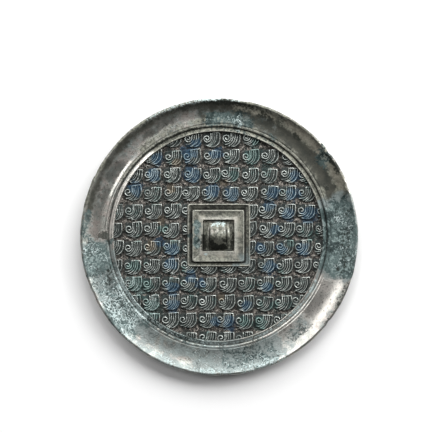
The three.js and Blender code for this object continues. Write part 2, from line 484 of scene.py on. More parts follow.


# (radius, z, dirt and painted shade in the grooves and down the walls, wear and painted highlight on
# the crests), from the rim in to the field
BAND_ROWS = [
    (48.75, 2.88, 0.1, 0), (48.6, 2.84, 0.65, 0), (48.42, 2.93, 0, 0.3), (48.1, 2.96, 0, 0.4),
    (47.66, 2.92, 0, 0.5), (47.5, 2.78, 0.1, 0.3), (47.36, 2.46, 0.85, 0), (47.22, 2.2, 1, 0),
    (46.98, 2.2, 0.85, 0), (46.74, 2.3, 0.15, 0), (46.36, 2.46, 0, 0), (46, 2.66, 0, 0.1),
    (45.7, 2.84, 0, 0.4), (45.5, 2.92, 0, 0.8), (45.35, 2.86, 0, 0.5), (45.27, 2.6, 0.4, 0),
    (45.23, 2.2, 0.9, 0), (45.21, 1.85, 1, 0),
]
FACE_Z = 2.5  # rows of the rim above this, inside its edge, are on its face


def add_rim(shell):
    """Underside, edge, rim and band; returns the row that meets the field."""
    hub = shell.add([[0, 0, 0]], RIM)[0]
    previous = None
    for radius, z in rim_rows():
        on_face = z > FACE_Z and radius < RADIUS
        shift = 1 - smooth(radius, RIM_INNER, RIM_FLOOR + 2)
        points = round_row(radius - edge_loss(radius), z, RING_CENTRE * shift * on_face)
        if on_face:
            points = uneven(points, scale=9, height=0.045, seed=1)
            points[:, 2] -= hollow_depth(points, radius)
        row = shell.add(points, RIM)
        if previous is None:
            for i in range(AROUND):
                shell.faces.append((hub, row[(i + 1) % AROUND], row[i]))
        else:
            shell.stitch(previous, row)
        previous = row
    # Band rows: dirt and painted shade in the grooves, wear and painted highlight on the crests.
    for radius, z, dirt_and_shade, wear_and_highlight in BAND_ROWS:
        points = uneven(round_row(radius, z, RING_CENTRE), scale=5, height=0.03, seed=2)
        patchy = patches(points, mean=0.85, swing=0.3, scale=3, seed=7)
        row = shell.add(points, BAND, line=wear_and_highlight * patchy, groove=dirt_and_shade * patchy)
        shell.stitch(previous, row)
        previous = row
    return previous


# (half width, z, share of the inner square's offset, dirt and painted shade in the trough and at the
# opening's edge, wear and painted highlight on the crests)
SEAT_ROWS = [
    (13.58, 1.95, 0, 0.6, 0), (13.52, 2.3, 0, 0, 0), (13.4, 2.54, 0, 0, 0.6),
    (13.24, 2.6, 0, 0, 0.9), (13.05, 2.52, 0, 0, 0.3), (12.9, 2.3, 0, 0.3, 0),
    (12.75, 2.2, 0.1, 0.2, 0), (12.2, 2.16, 0.4, 0.1, 0), (11.95, 2.1, 0.6, 0.5, 0),
    (11.75, 1.86, 0.8, 1, 0), (11.45, 1.76, 1, 1, 0), (11.24, 1.86, 1, 1, 0),
    (11.18, 2.5, 1, 0.7, 0), (11.12, 2.95, 1, 0, 0.5), (10.98, 3.14, 1, 0, 1),
    (10.8, 3.13, 1, 0, 0.5), (10.5, 3, 1, 0, 0), (9.9, 2.8, 0.9, 0, 0.15),
    (9.3, 2.66, 0.8, 0, 0.1), (8.6, 2.6, 0.7, 0, 0.2), (7.9, 2.64, 0.6, 0, 0.7),
    (7.3, 2.76, 0.5, 0, 1), (7, 2.83, 0.5, 0, 0.9), (6.82, 2.8, 0.5, 0, 0.5),
    (6.72, 2.6, 0.5, 0.6, 0), (6.68, 2.2, 0.5, 1, 0), (6.64, 1.9, 0.5, 1, 0),
]
INNER_SQUARE_OFFSET = np.array([-0.23, -0.32])
# Painted shade: the trough is darker on its +Y and -X sides, which the ridge and the inner square
# keep from the light.
TOP_SHADE, TOP_SHADE_FROM, TOP_SHADE_TO = 0.85, 11.2, 13.0  # half widths where the +Y side is dark
LEFT_SHADE, LEFT_SHADE_FROM, LEFT_SHADE_TO = 0.9, 11.2, 12.25  # and the -X side
SLOPE_FROM, SLOPE_TO = 7.0, 10.9  # half widths of the mitred slope
# Wear and painted highlight along the slope's mitres.
MITRE_WEAR_AND_HIGHLIGHT, MITRE_HALF_WIDTH = 0.55, 0.45


def add_seat(shell, foot):
    """The square steps and trough, from the field to the opening's floor."""
    previous = foot
    for half, z, follow, dirt_and_shade, wear_and_highlight in SEAT_ROWS:
        points = square_row(half, z, SEAT_CENTRE + INNER_SQUARE_OFFSET * follow)
        across, up = (points[:, :2] - SEAT_CENTRE).T
        # Painted shade on the trough's +Y and -X sides.
        if TOP_SHADE_FROM < half < TOP_SHADE_TO:
            dirt_and_shade = np.where(up > np.abs(across), TOP_SHADE, dirt_and_shade)
        if LEFT_SHADE_FROM < half < LEFT_SHADE_TO:
            dirt_and_shade = np.where(-across > np.abs(up), LEFT_SHADE, dirt_and_shade)
        # The mitres get wear and painted highlight.
        if SLOPE_FROM < half < SLOPE_TO:
            mitre = np.abs(np.abs(across) - np.abs(up)) < MITRE_HALF_WIDTH
            wear_and_highlight = np.where(mitre, np.maximum(wear_and_highlight, MITRE_WEAR_AND_HIGHLIGHT), wear_and_highlight)
        patchy = patches(points, mean=0.9, swing=0.35, scale=1.6, seed=8)
        points = uneven(points, scale=2.5, height=0.02, seed=3)
        row = shell.add(points, SEAT, line=wear_and_highlight * patchy, groove=dirt_and_shade * patchy)
        shell.stitch(previous, row)
        previous = row
    return previous


def inside(points, outline):
    """True where points lie inside a closed outline, by counting crossings."""
    crossed = np.zeros(len(points), bool)
    for a, b in zip(outline, np.roll(outline, -1, 0)):
        spans = (a[1] > points[:, 1]) != (b[1] > points[:, 1])
        rise = b[1] - a[1] if b[1] != a[1] else 1e-9
        crossed ^= spans & (points[:, 0] < a[0] + (b[0] - a[0]) * (points[:, 1] - a[1]) / rise)
    return crossed


def triangulate(shell, rims, loose, keep, lift):
    """Fills between rows in the shell, through loose points that lift adds to it.

    keep says which triangles stay, from their centres."""
    points = np.concatenate(shell.points)
    rim_points = [points[row][:, :2] for row in rims]
    flat = np.concatenate(rim_points + [loose])
    edges, start = [], 0
    for row in rims:
        edges += [(start + i, start + (i + 1) % len(row)) for i in range(len(row))]
        start += len(row)
    added = lift(loose)
    indices = np.concatenate([*rims, added])
    found = delaunay_2d_cdt([Vector(p) for p in flat], edges, [], 0, WELD, True)
    origin = [ids[0] for ids in found[3]]
    corners = np.array([[origin[v] for v in face] for face in found[2]])
    middles = flat[corners].mean(1)
    for corner in corners[keep(middles)]:
        shell.faces.append(tuple(indices[corner]))


def add_field(shell, outer, curls):
    """The ground with its curls; returns the row where the seat rises from it."""
    def lift(points):
        line, pad, groove = field_relief(points, curls)
        z = FIELD_Z + PAD_HEIGHT * pad + LINE_HEIGHT * line - GROOVE_DEPTH * groove
        roughness = PAD_ROUGHNESS + GROUND_ROUGHNESS * (1 - pad)
        z += roughness * noise_at(points, scale=0.95, seed=4)
        return shell.add(np.column_stack([points, z]), FIELD, line, pad, groove)

    def keep(middles):
        return np.abs(middles - SEAT_CENTRE).max(1) > SEAT_HALF * SEAT_SHARE

    wall = lift(round_row(FIELD_RADIUS, 0, RING_CENTRE)[:, :2])
    shell.stitch(outer, wall)
    foot = lift(square_row(SEAT_HALF, 0, SEAT_CENTRE)[:, :2])
    triangulate(shell, [wall, foot], field_points(curls), keep, lift)
    return foot


# --- the loop
LOOP_CENTRE = np.array([-0.25, 0.35])
LOOP_HALF_WIDTH = 4.95
LOOP_HALF_LENGTH = 6.15
LOOP_PEAK = 0.45  # how round the arch's crest is
LOOP_NARROWING = 0.16  # share of its width that it loses down to its feet
LOOP_SPARE = 0.05  # for the crown's unevenness
LOOP_WALL = 1.3
HOLE_HALF_LENGTH = 3.7
ARCH_STEPS = 40
ACROSS_STEPS = 48
CROWN_DROP, CROWN_AT, CROWN_POWER = 0.3, 3.6, 2.5  # the crown's fall to its sides
SIDE_DROP, SIDE_FROM, SIDE_TO = 0.7, 4.6, 5.2  # and the rounding of its outer edges
SLITS = [(-4.05, 0.26), (3.45, 0.26)]  # place and half width of the grooves beside the middle rib
SLIT_DEPTH = 0.75
SLIT_RISE = (0.35, 0.8)  # shares of the height where they set in
# Painted shade in the slits beside the middle rib.
SLIT_SHADE_RISE = (0.45, 0.8)
SLIT_SHADE_SPREAD = 1.25  # how much wider than a groove its painted shade is
DEPTH_AT_FEET = 0.5  # share of that depth taken off the loop's ends
FLOOR_SPAN, FLOOR_STEP = 6.2, 0.4  # grid of vertices in the floor
FOOT_MARGIN = 0.25


def rib_depth(x, height):
    """How far the outside lies under the crown, at x and a share of the height."""
    depth = CROWN_DROP * (np.abs(x) / CROWN_AT) ** CROWN_POWER
    depth += SIDE_DROP * smooth(np.abs(x), SIDE_FROM, SIDE_TO)
    for place, half_width in SLITS:
        depth += SLIT_DEPTH * smooth(height, *SLIT_RISE) * bell((x - place) / half_width)
    return depth


def slit_shade(x, height):
    """How much painted shade lies in the grooves beside the middle rib there."""
    off = [np.abs(x - place) / (half_width * SLIT_SHADE_SPREAD) for place, half_width in SLITS]
    return smooth(height, *SLIT_SHADE_RISE) * bell(np.min(off, axis=0))


def arch_height(along):
    """Share of the height at a share of the half length: round crest, straight flanks."""
    fall = math.hypot(LOOP_PEAK, along) - LOOP_PEAK
    return 1 - fall / (math.hypot(LOOP_PEAK, 1) - LOOP_PEAK)


def loop_ring(angle):
    """One closed section of the loop at that angle round its arch, and the painted shade on it: in
    the grooves, and all over the inside of the hole.
    """
    along = math.cos(angle)
    height = arch_height(along)
    narrower = 1 - LOOP_NARROWING * along**2
    x = np.linspace(-LOOP_HALF_WIDTH, LOOP_HALF_WIDTH, ACROSS_STEPS)
    depth = rib_depth(x, height)
    rise = LOOP_TOP - LOOP_SPARE - SEAT_FLOOR_Z
    outer = np.column_stack([
        x * narrower,
        (LOOP_HALF_LENGTH - depth * DEPTH_AT_FEET) * along,
        (rise - depth) * height,
    ])
    back = np.linspace(LOOP_HALF_WIDTH, -LOOP_HALF_WIDTH, ACROSS_STEPS // 2)
    inner = np.column_stack([
        back * narrower,
        np.full(len(back), HOLE_HALF_LENGTH * along),
        np.full(len(back), (rise - LOOP_WALL) * math.sin(angle)),
    ])
    ring = np.concatenate([outer, inner]) + np.array([*LOOP_CENTRE, SEAT_FLOOR_Z])
    # The inside of the hole gets full painted shade.
    return ring, np.concatenate([slit_shade(x, height), np.ones(len(inner))])


def add_loop(shell, opening):
    """The arch over the cord hole, and the floor it stands on."""
    rings = []
    for angle in np.linspace(0, math.pi, ARCH_STEPS):
        ring, dirt_and_shade = loop_ring(angle)
        rings.append(shell.add(uneven(ring, scale=2, height=0.04, seed=5), LOOP, groove=dirt_and_shade))
    for one, other in zip(rings[:-1], rings[1:]):
        shell.stitch(other, one)
    points = np.concatenate(shell.points)
    feet = [points[rings[0]][:, :2], points[rings[-1]][:, :2]]

    def keep(middles):
        return ~(inside(middles, feet[0]) | inside(middles, feet[1]))

    def lift(loose):
        flat = np.column_stack([loose, np.full(len(loose), SEAT_FLOOR_Z)])
        return shell.add(uneven(flat, scale=1.5, height=0.04, seed=6), SEAT)

    grid = square_grid(-FLOOR_SPAN, FLOOR_SPAN + FLOOR_STEP / 2, FLOOR_STEP) + SEAT_CENTRE
    clear = np.ones(len(grid), bool)
    for foot in feet:
        low, high = foot.min(0) - FOOT_MARGIN, foot.max(0) + FOOT_MARGIN
        clear &= ~((grid > low) & (grid < high)).all(1)
    triangulate(shell, [opening, rings[0], rings[-1]], grid[clear], keep, lift)


def build_shell():
    """The whole mirror, from its underside in to its loop."""
    shell = Shell()
    curls = make_curls()
    wall = add_rim(shell)
    foot = add_field(shell, wall, curls)
    opening = add_seat(shell, foot)
    add_loop(shell, opening)
    return shell.result()


# --- corrosion, painted shade and painted highlights, as painted amounts
# Sectors of the rim and band: from and to in degrees from +X, inner and outer radius, amount.
# Of teal, crust and black the amount is the share covered, of the others how thick they are.
RIM_TEAL = [
    (181, 198, 46, 60, 0.7), (168, 183, 56, 60, 0.6), (196, 214, 45, 60, 0.42),
    (208, 232, 44, 60, 0.55), (230, 246, 47, 58, 0.2), (244, 275, 48, 60, 0.22),
    (270, 300, 47, 60, 0.42), (303, 316, 49.5, 56, 0.42), (-18, 17, 44, 60, 0.75),
    (72, 97, 48, 54, 0.62), (95, 120, 49, 55, 0.2), (58, 84, 44, 50, 0.35),
    (33, 42, 54, 60, 0.6), (318, 341, 58, 60, 0.25), (120, 168, 50, 56, 0.06),
    (197, 262, 43, 48.5, 0.5),
]
RIM_FILM = [
    (196, 228, 47.5, 59, 0.75), (222, 240, 47.5, 55.6, 0.95), (238, 266, 47.5, 55.6, 0.7),
    (258, 302, 47.5, 59.4, 0.88), (224, 268, 55, 60, 0.58), (95, 168, 50, 57, 0.3),
    (-20, 20, 44, 60, 0.9), (182, 200, 46, 60, 0.6), (60, 100, 48, 55, 0.34),
    (300, 320, 48, 57.5, 0.6),
    (285, 330, 57, 60, 0.35), (186, 300, 45.3, 47.1, 0.85), (300, 345, 45.3, 46.1, 0.6),
]
RIM_CRUST = [
    (181, 195, 48, 59, 0.26), (196, 212, 47, 59, 0.24), (206, 229, 44, 58, 0.38),
    (222, 252, 56.6, 59.8, 0.34), (244, 300, 57, 60, 0.4), (198, 338, 45.4, 47, 0.5),
    (198, 230, 45, 48, 0.6), (255, 298, 49, 57, 0.18), (-16, 15, 50, 59.5, 0.2),
    (78, 98, 48, 53, 0.25), (62, 80, 45, 49, 0.2),
    (98, 118, 49, 53, 0.1), (303, 316, 50, 56, 0.1), (74, 122, 58.4, 60, 0.4),
]
RIM_OLIVE = [
    (12, 100, 47, 59.4, 1), (96, 172, 55.2, 59.4, 0.75), (20, 128, 44, 48.5, 0.6),
    (76, 138, 47.7, 49.2, 0.7), (318, 341, 59, 60, 0.6), (165, 200, 58.5, 60, 0.6),
    (196, 206, 48, 58, 0.35),
]
RIM_BLACK = [
    (177, 181, 48.2, 50.6, 1), (178.4, 180.4, 50, 52, 0.9), (76, 100, 57, 59, 0.7),
    (28, 46, 57.5, 60, 0.5), (100, 128, 57, 58.6, 0.5), (64, 71, 54.6, 56.6, 0.6),
    (50, 55, 53.8, 55.6, 0.8), (36.5, 40, 54.8, 56.8, 0.7), (195, 205, 48, 53, 0.4),
    (-18, 14, 52, 57, 0.3), (286, 300, 49, 52, 0.2), (23, 26, 50, 52, 0.6),
    # The last sector here is painted shade in the groove outside the band.
    (154, 157, 52, 54, 0.4), (318, 342, 57.6, 60, 0.42), (98, 184, 47.7, 48.4, 0.7),
]
RIM_DULL = [
    (16, 84, 54.6, 59.2, 0.95), (-8, 128, 44, 48.8, 1), (98, 150, 48, 49.2, 1),
    (58, 170, 58.6, 61, 0.85), (84, 134, 48.4, 52.5, 0.7), (238, 264, 48, 54.4, 0.5),
]
# Pale metal, and painted highlight on the inner slope's crescent at the upper left, the band at the
# left and the outer rim at the upper right.
RIM_PALE_AND_HIGHLIGHT = [
    (298, 344, 47, 57, 0.9), (138, 161, 49.2, 51.2, 0.7), (126, 182, 45.1, 47.2, 1),
    (300, 342, 46, 47.2, 0.8), (19, 34, 55.4, 58.6, 1), (39, 61, 55.2, 58.8, 1),
    (63, 82, 54.4, 57.6, 0.7),
]
# Spots in the field: (x, y, radius)
BLUE_SPOTS = [
    (-26.8, 33.5, 3.2), (-13.2, 36, 4.2), (-1.3, 36, 3.2), (-11.9, 26.6, 4.2),
    (-28.5, 26.6, 3.2), (-36.2, 20.7, 4), (-3, 19.8, 3.4), (5.6, 18.5, 3.6),
    (23.5, 19, 3.2), (32, 18.1, 3.6), (39.2, 9.2, 4.2), (29.8, 9.6, 3.2),
    (21.7, 13.9, 3), (-26, -2.3, 2.6), (-20.4, -5.7, 3.2), (-20.9, -11.7, 3.2),
    (-11.9, -17.2, 3.2), (-20, -22.4, 3.6), (-8.1, -20.2, 2.4), (22.2, -13.4, 3.6),
    (17.5, -4.9, 2.8), (36.2, -5.7, 3.2), (26.9, -5.3, 2.6), (20.9, -21.9, 2.6),
    (11.5, -29.6, 2.6), (-20, -30, 3.2), (4.3, -37.7, 3.4), (-1.7, -36.8, 2.4),
    (-9.8, 40.3, 2.6), (32.8, 25.8, 2.8), (24, 3, 2.4),
]
GREEN_SPOTS = [
    (14.9, 36, 4), (15.8, 41.8, 3), (10.7, -36.4, 3), (17.5, -37.3, 3.6),
    (-37, -12.6, 3.2), (6.4, 26.6, 2.6), (24, -30, 2.8), (-24.5, 3.5, 2.4),
    (31, -3, 2.4), (40.5, 0, 3), (-34, -22, 6), (-28.5, -31, 5),
]
CRUST_SPOTS = [(-28.5, -27.9, 4.6), (-38.7, -18.5, 4.4), (-34.5, -23.6, 4), (-29.4, -33.2, 4)]
OCHRE_SPOTS = [
    (-18.3, 31.8, 2.4), (2.1, 23.2, 2.2), (-20.9, 20.7, 2.4), (-25.1, 7, 2.4),
    (-29.4, -4, 2.8), (0.5, -26, 2),
]
# Spots on the seat and the loop, with painted shadow, shade and highlights among them
SEAT_TEAL_SPOTS = [
    (-9.9, 5.3, 2.3), (-9.6, 2.4, 1.5), (-9.9, -1.2, 1.7), (-9.9, -3.6, 1.8), (-12.4, 0.5, 1.4),
]
SEAT_FILM_SPOTS = [
    (10.8, -9.6, 3.6), (12.4, -5, 2.2), (7.4, -12.2, 2.2), (-9.6, 2.6, 2.6), (-9.4, -2.2, 2.6),
]
# Painted highlights at the seat's inner corners and edges.
SEAT_HIGHLIGHT_SPOTS = [
    (-7.6, 7.9, 1.7), (7, 7.6, 1.8), (7.2, -6.8, 1.9), (-7.2, -7.2, 1.6), (1, -7.4, 2),
    (8.6, 1, 1.6),
]
SEAT_CRUST_SPOTS = [(-5.7, -7.5, 0.7)]
# Painted shadow along the opening's left inner edge.
SEAT_EDGE_SHADOW_SPOTS = [
    (-6.7, 0.2, 1), (-6.8, -1.2, 1.3), (-6.8, -2.6, 1.4), (-6.8, -4, 1.4), (-6.7, -5.4, 1.2),
]
# Painted shadow on the opening's floor right of the loop.
OPENING_SHADOW_SPOTS = [(5.7, 1.6, 0.9), (6, -0.6, 1.1), (6, -2.8, 1.2), (5.6, -4.8, 1.1)]
LOOP_CRUST_SPOTS = [(-0.6, 5.7, 2), (1.5, 5.2, 1.3), (-2.6, 5, 1.1)]
# Painted shade on the loop's -Y half, which faces away from the light.
LOOP_SHADE_SPOTS = [(-2, -4.6, 2.2), (1.6, -4.8, 2.2), (-3, -2.2, 1), (2.2, -1.6, 1)]

# The pale amount is pale metal and painted highlight, and black is partly painted shadow and painted
# shade.
PRODUCTS = ("teal", "crust", "olive", "black", "dull", "pale", "film", "blue", "ochre")
# (product, sectors of the rim and band, noise seed, how ragged they are)
SECTORS = [
    ("teal", RIM_TEAL, 21, 1), ("crust", RIM_CRUST, 23, 1), ("olive", RIM_OLIVE, 25, 0.35),
    ("black", RIM_BLACK, 27, 1), ("dull", RIM_DULL, 33, 0.5), ("pale", RIM_PALE_AND_HIGHLIGHT, 29, 1),
    ("film", RIM_FILM, 35, 0.7),
]
# (product, the part it lies on, its spots, noise seed, amount)
SPOTS = [
    ("teal", "field", GREEN_SPOTS, 14, 1), ("teal", "seat", SEAT_TEAL_SPOTS, 17, 0.9),
    ("crust", "field", CRUST_SPOTS, 15, 0.5), ("crust", "loop", LOOP_CRUST_SPOTS, 18, 0.6),
    ("crust", "seat", SEAT_CRUST_SPOTS, 24, 1), ("black", "opening", OPENING_SHADOW_SPOTS, 19, 0.9),
    ("black", "seat", SEAT_EDGE_SHADOW_SPOTS, 28, 1), ("black", "loop", LOOP_SHADE_SPOTS, 20, 1),
    ("pale", "seat", SEAT_HIGHLIGHT_SPOTS, 26, 1), ("film", "seat", SEAT_FILM_SPOTS, 22, 0.75),
    ("blue", "field", BLUE_SPOTS, 13, 1), ("ochre", "field", OCHRE_SPOTS, 16, 1),
]
# (product, the part it lies on evenly, amount)
COATS = [
    ("olive", "hidden", 0.7), ("dull", "hidden", 0.5), ("film", "hidden", 0.25),
    ("dull", "seat", 0.9), ("dull", "loop", 0.62),
]
FIELD_HAZE, HIDDEN_HAZE = 0.6, 0.5  # a thin teal all over those two

END_FEATHER = 3.0  # to each side of a sector's ends it fades out over this
SIDE_FEATHER = 2.2  # and of its inner and outer edge
FEATHER_SHARE = 0.5  # but never more than this share of the sector
SPOT_FADE = (0.3, 1.3)  # where a spot fades out, as shares of its radius
UNDERSIDE_Z = 0.4  # the underside lies below this
SIDE_RADIUS, SIDE_Z = RADIUS - 1, 4.4  # the rim's outer side is past one, below the other
OPENING_HALF, OPENING_Z = 7, 2.7  # the seat's sunk floor is inside one, below the other
STREAKS = np.array([1 / 0.6, 1 / 4.0])  # on the loop, narrow in X and long in Y


def sector_amount(points, sectors, seed, ragged):
    """The strongest sector's amount at each point, with edges that fade and wander."""
    angle = np.degrees(np.arctan2(points[:, 1], points[:, 0]))
    radius = np.linalg.norm(points[:, :2], axis=1)
    wander = ragged * (noise_at(points, 8, seed) + 0.6 * noise_at(points, 2.5, seed + 1))
    best = np.zeros(len(points))
    for start, end, inner, outer, amount in sectors:
        middle, reach = (start + end) / 2, (end - start) / 2
        past = np.radians(degrees_off(angle, middle) - reach) * radius
        feather = min(END_FEATHER, FEATHER_SHARE * math.radians(reach) * outer)
        out = np.maximum(inner - radius, radius - outer)
        fade = min(SIDE_FEATHER, FEATHER_SHARE * (outer - inner))
        share = 1 - smooth(past + 0.9 * feather * wander, -feather, feather)
        share *= 1 - smooth(out + fade * wander, -fade, fade)
        best = np.maximum(best, amount * share)
    return best


def spot_amount(points, spots, seed):
    """1 in the spots' middles, fading out over ragged edges."""
    wander = 0.42 * noise_at(points, 2.2, seed)
    best = np.zeros(len(points))
    for x, y, radius in spots:
        off = np.hypot(points[:, 0] - x, points[:, 1] - y) / radius + wander
        best = np.maximum(best, 1 - smooth(off, *SPOT_FADE))
    return best


def parts_of(points, zone):
    """True or false at each point, for each part that corrosion lies on."""
    from_axis = np.linalg.norm(points[:, :2], axis=1)
    from_seat = np.abs(points[:, :2] - SEAT_CENTRE).max(1)
    z = points[:, 2]
    on_rim = (zone == RIM) | (zone == BAND)
    on_side = (from_axis > SIDE_RADIUS) & (z < SIDE_Z)
    hidden = on_rim & (on_side | (z < UNDERSIDE_Z))
    sunk = (zone == SEAT) & (from_seat < OPENING_HALF) & (z < OPENING_Z)
    return {"rim": on_rim & ~hidden, "hidden": hidden, "field": zone == FIELD,
            "seat": zone == SEAT, "opening": sunk, "loop": zone == LOOP}


def corrosion(points, zone):
    """Amounts of each product of corrosion at each point, mostly from 0 to 1. The black amount also
    holds painted shadow and shade, and the pale amount painted highlight.
    """
    parts = parts_of(points, zone)
    amounts = {name: np.zeros(len(points)) for name in PRODUCTS}
    for name, sectors, seed, ragged in SECTORS:
        amounts[name] += parts["rim"] * sector_amount(points, sectors, seed, ragged)
    for name, part, spots, seed, amount in SPOTS:
        amounts[name] += parts[part] * amount * spot_amount(points, spots, seed)
    for name, part, amount in COATS:
        amounts[name] += parts[part] * amount
    haze = np.clip(patches(points, mean=0.3, swing=0.5, scale=8, seed=12), 0, 1)
    haze *= parts["field"] * FIELD_HAZE + parts["hidden"] * HIDDEN_HAZE
    amounts["teal"] = np.maximum(amounts["teal"], haze)
    # Olive streaks along the loop, with painted shade added on its -Y half, which faces away from
    # the light.
    streaks_and_shade = patches(points[:, :2] * STREAKS, mean=0.42, swing=0.7, scale=1, seed=9)
    streaks_and_shade += 0.4 * smooth(LOOP_CENTRE[1] - points[:, 1], -1.5, 1)  # more on its -Y half
    amounts["olive"] += parts["loop"] * streaks_and_shade
    return amounts


# --- the mirror
def make_mirror():
    """The one piece, with its marks and corrosion on its vertices."""
    points, marks, faces = build_shell()
    mesh = bpy.data.meshes.new("mirror_bronze")
    mesh.from_pydata((points * MM).tolist(), [], faces)
    mesh.shade_smooth()
    amounts = dict(zip(("zone", "line", "pad", "groove"), marks.T))
    amounts.update(corrosion(points, marks[:, 0]))
    for name, values in amounts.items():
        attribute = mesh.attributes.new(name, "FLOAT", "POINT")
        attribute.data.foreach_set("value", values.astype(np.float32))
    return placed("mirror_bronze", mesh)


# --- materials
class Graph:
    """Short names for the few kinds of node used here."""

    def __init__(self, owner):
        owner.use_nodes = True
        self.nodes, self.links = owner.node_tree.nodes, owner.node_tree.links
        self.nodes.clear()

    def add(self, kind, *values, **settings):
        """A node with those settings, and its inputs in order."""
        node = self.nodes.new(kind)
        for name, value in settings.items():
            setattr(node, name, value)
        return self.fill(node, dict(enumerate(values)))

    def fill(self, node, values):
        """Links or sets inputs by name or number. A tuple is a colour."""
        for key, value in values.items():
            if isinstance(value, bpy.types.NodeSocket):
                self.links.new(value, node.inputs[key])
            else:
                tone = (*value, 1.0) if isinstance(value, tuple) else value
                node.inputs[key].default_value = tone
        return node

    def surface(self, values):
        shader = self.fill(self.add("ShaderNodeBsdfPrincipled"), values)
        self.add("ShaderNodeOutputMaterial", shader.outputs[0])

    def read(self, name):
        return self.add("ShaderNodeAttribute", attribute_name=name).outputs["Fac"]

    def math(self, operation, *values):
        return self.add("ShaderNodeMath", *values, operation=operation).outputs[0]

    def times(self, first, second):
        return self.math("MULTIPLY", first, second)

    def less(self, first, second):
        return self.math("SUBTRACT", first, second)

    def most(self, highest, *others):
        for other in others:
            highest = self.math("MAXIMUM", highest, other)
        return highest

    def rise(self, value, start, end, low=0.0, high=1.0):
        node = self.add("ShaderNodeMapRange", value, start, end, low, high,
                        interpolation_type="SMOOTHSTEP")
        return node.outputs[0]

    def noise(self, size_mm, detail, roughness, seed):
        """Noise that fills 0 to 1 fairly evenly, with blots about size_mm across."""
        node = self.add("ShaderNodeTexNoise", noise_dimensions="4D")
        place = self.add("ShaderNodeTexCoord").outputs["Object"]
        self.fill(node, {"Vector": place, "W": seed, "Scale": 1 / (size_mm * MM),
                         "Detail": detail, "Roughness": roughness})
        return self.rise(node.outputs["Fac"], 0.3, 0.7)

    def mix(self, share, first, second):
        """A colour from first to second."""
        node = self.add("ShaderNodeMix", share, data_type="RGBA")
        return self.fill(node, {6: first, 7: second}).outputs[2]

    def blend(self, share, first, second):
        """A number from first to second."""
        node = self.add("ShaderNodeMix", share, data_type="FLOAT")
        return self.fill(node, {2: first, 3: second}).outputs[0]


# Linear colours. Where there are two, noise or relief goes from one to the other.
METAL = (0.4, 0.4, 0.365), (0.56, 0.545, 0.505)
GREENISH = (0.27, 0.335, 0.31)
PINKISH = (0.5, 0.405, 0.37)
GRAINY = (0.25, 0.25, 0.225)
# Pale metal, and painted highlight on the rim's slopes and the seat's inner corners.
PALE_METAL_AND_HIGHLIGHT = (0.84, 0.81, 0.755)
PITTED = (0.1, 0.1, 0.085)
FLECKED = (0.17, 0.165, 0.145)
OLIVE = (0.054, 0.058, 0.05), (0.102, 0.1, 0.083)
DULL = (0.052, 0.057, 0.046), (0.24, 0.242, 0.2)
# Pale and painted highlight over the dull coat.
DULL_PALE_AND_HIGHLIGHT = (0.16, 0.15, 0.12), (0.33, 0.31, 0.255)
# Wear and painted highlight on crest rows, over the dull coat.
DULL_WORN_AND_HIGHLIGHT = (0.47, 0.465, 0.415)
FILM = (0.1, 0.122, 0.12), (0.23, 0.272, 0.27)
GROUND = (0.033, 0.031, 0.028), (0.155, 0.136, 0.12)
GROUND_DIPS = (0.009, 0.011, 0.01)
GROUND_FLECKS = (0.38, 0.35, 0.31)
# Near black between the raised lines: dark corrosion in the hollows, with painted shade there too.
PAD = (0.002, 0.004, 0.004), (0.04, 0.048, 0.045)
CREST = (0.1, 0.12, 0.11), (0.66, 0.7, 0.665)
TEAL = (0.013, 0.025, 0.025), (0.085, 0.122, 0.119)
TEAL_FLECKS = (0.25, 0.32, 0.31)
GREEN = (0.006, 0.018, 0.017), (0.018, 0.055, 0.052)
GREEN_CREST = (0.16, 0.28, 0.255)
BLUE = (0.003, 0.013, 0.028), (0.016, 0.056, 0.1)
BLUE_CREST = (0.07, 0.125, 0.165), (0.33, 0.43, 0.47)
OCHRE = (0.07, 0.055, 0.035), (0.38, 0.31, 0.22)
CRUST = (0.2, 0.275, 0.27), (0.62, 0.7, 0.69)
CRUST_IN_FIELD = (0.12, 0.165, 0.155)
BLACK = (0.018, 0.021, 0.016)
# Painted shade in grooves and shaded hollows, partly dirt.
GROOVE_SHADE_AND_DIRT = (0.008, 0.009, 0.008)
SHEEN = 0.22  # of what isn't bare metal


